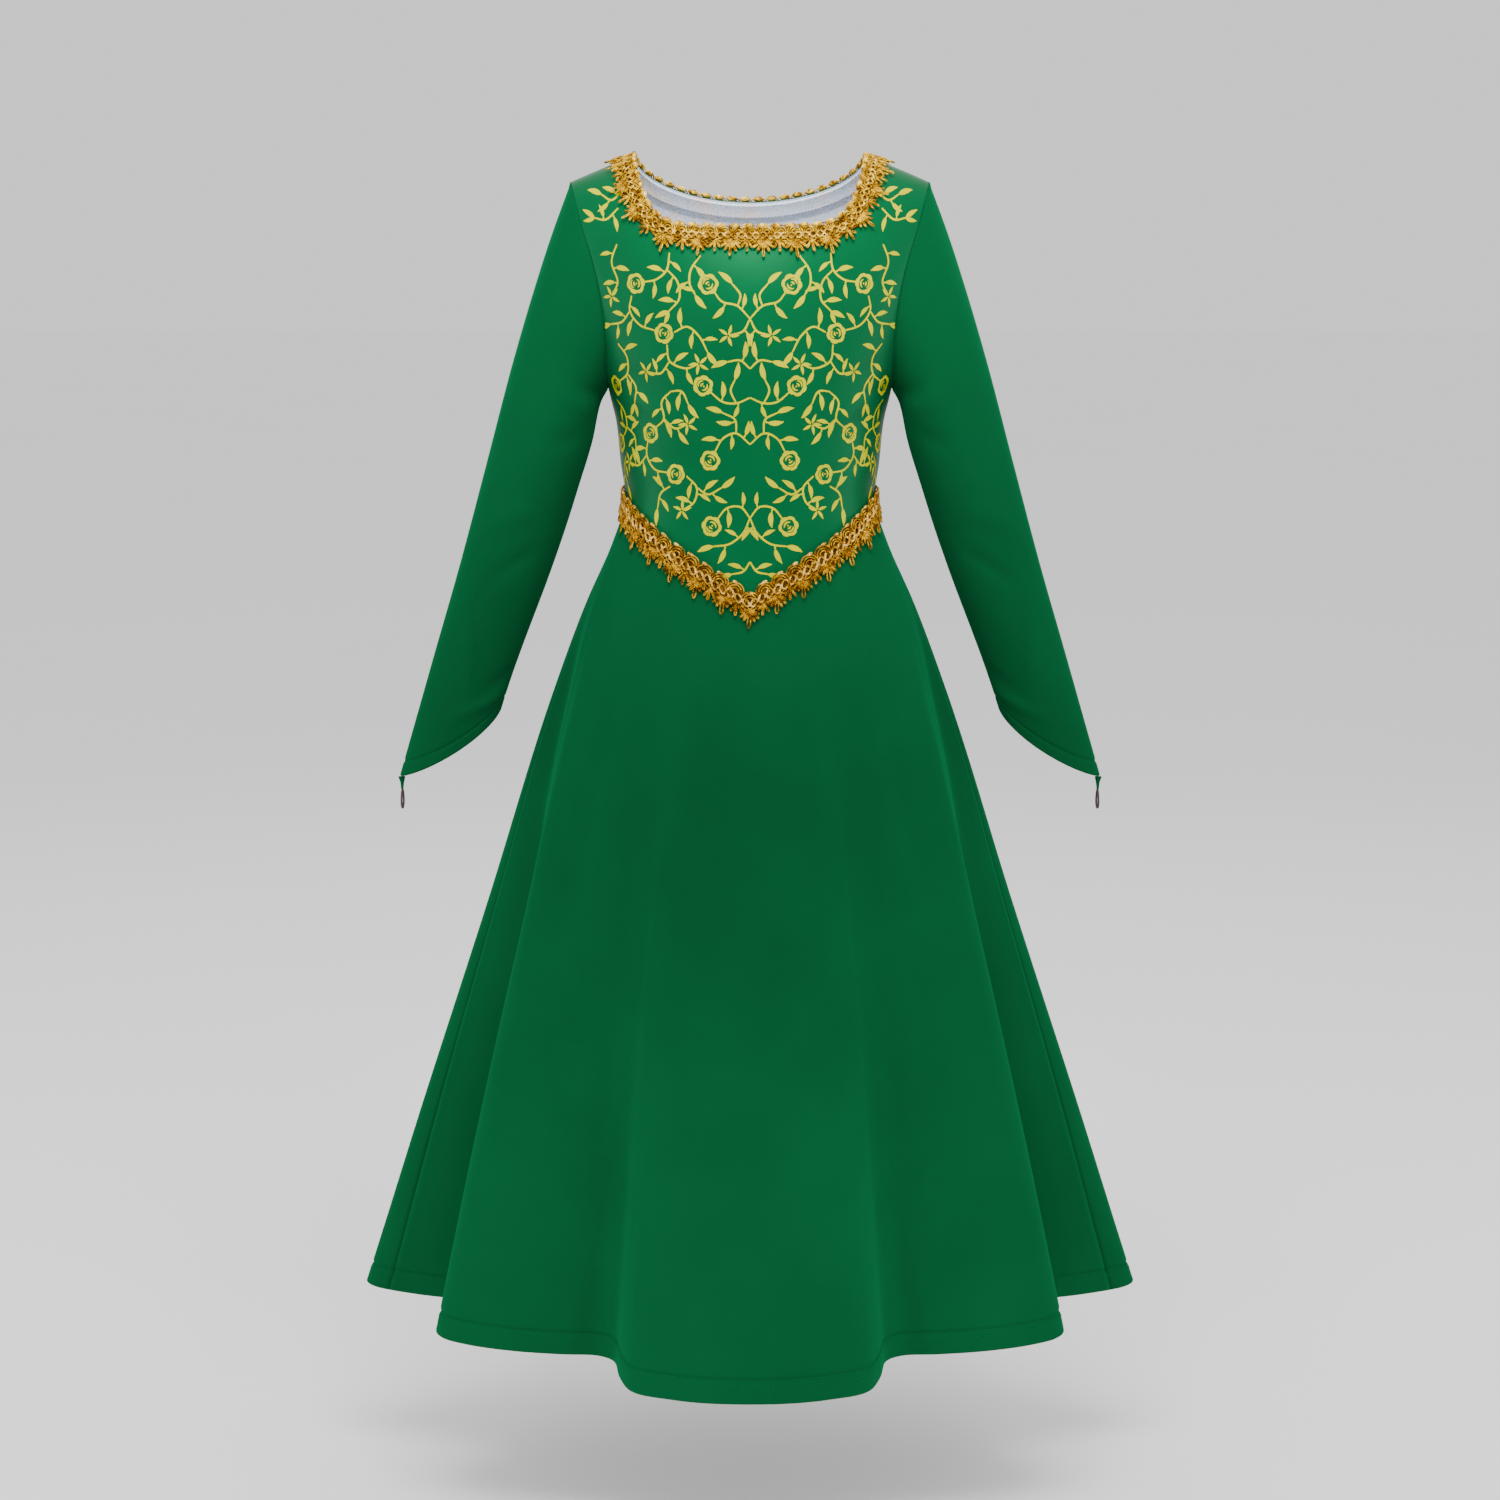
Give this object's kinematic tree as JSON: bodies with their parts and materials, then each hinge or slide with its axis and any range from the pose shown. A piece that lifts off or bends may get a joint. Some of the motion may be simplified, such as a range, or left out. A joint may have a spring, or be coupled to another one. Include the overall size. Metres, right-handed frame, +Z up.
{
  "type": "costume dress",
  "caption": "Full-length costume dress with fitted printed bodice, pointed waist seam, long pointed sleeves with finger loops, fluted skirt and gold lace.",
  "frame": {"origin": "midway between the two shoulder seams, level with the shoulder at the neck", "axes": "+Z up, -Y to the front of the dress, +X to the wearer's left sleeve"},
  "size_m": [0.6092, 0.4725, 0.8837],
  "materials": {
    "printed_satin": "satin weave with a soft sheen",
    "green_knit": "smooth matt knit",
    "facing_cloth": "matt wrong side of the satin",
    "neck_gold": "gold thread lace",
    "waist_gold": "bronze gold thread lace",
    "elastic": "covered elastic"
  },
  "bodies": {
    "root": {"bodice_front": "printed_satin", "bodice_back": "printed_satin", "neck_facing": "facing_cloth", "sleeve_left": "green_knit", "sleeve_right": "green_knit", "skirt_front": "green_knit", "skirt_back": "green_knit", "neck_lace": "neck_gold", "waist_lace": "waist_gold", "cuff_tab_left": "green_knit", "cuff_tab_right": "green_knit", "finger_loop_left": "elastic", "finger_loop_right": "elastic"}
  },
  "joints": []
}
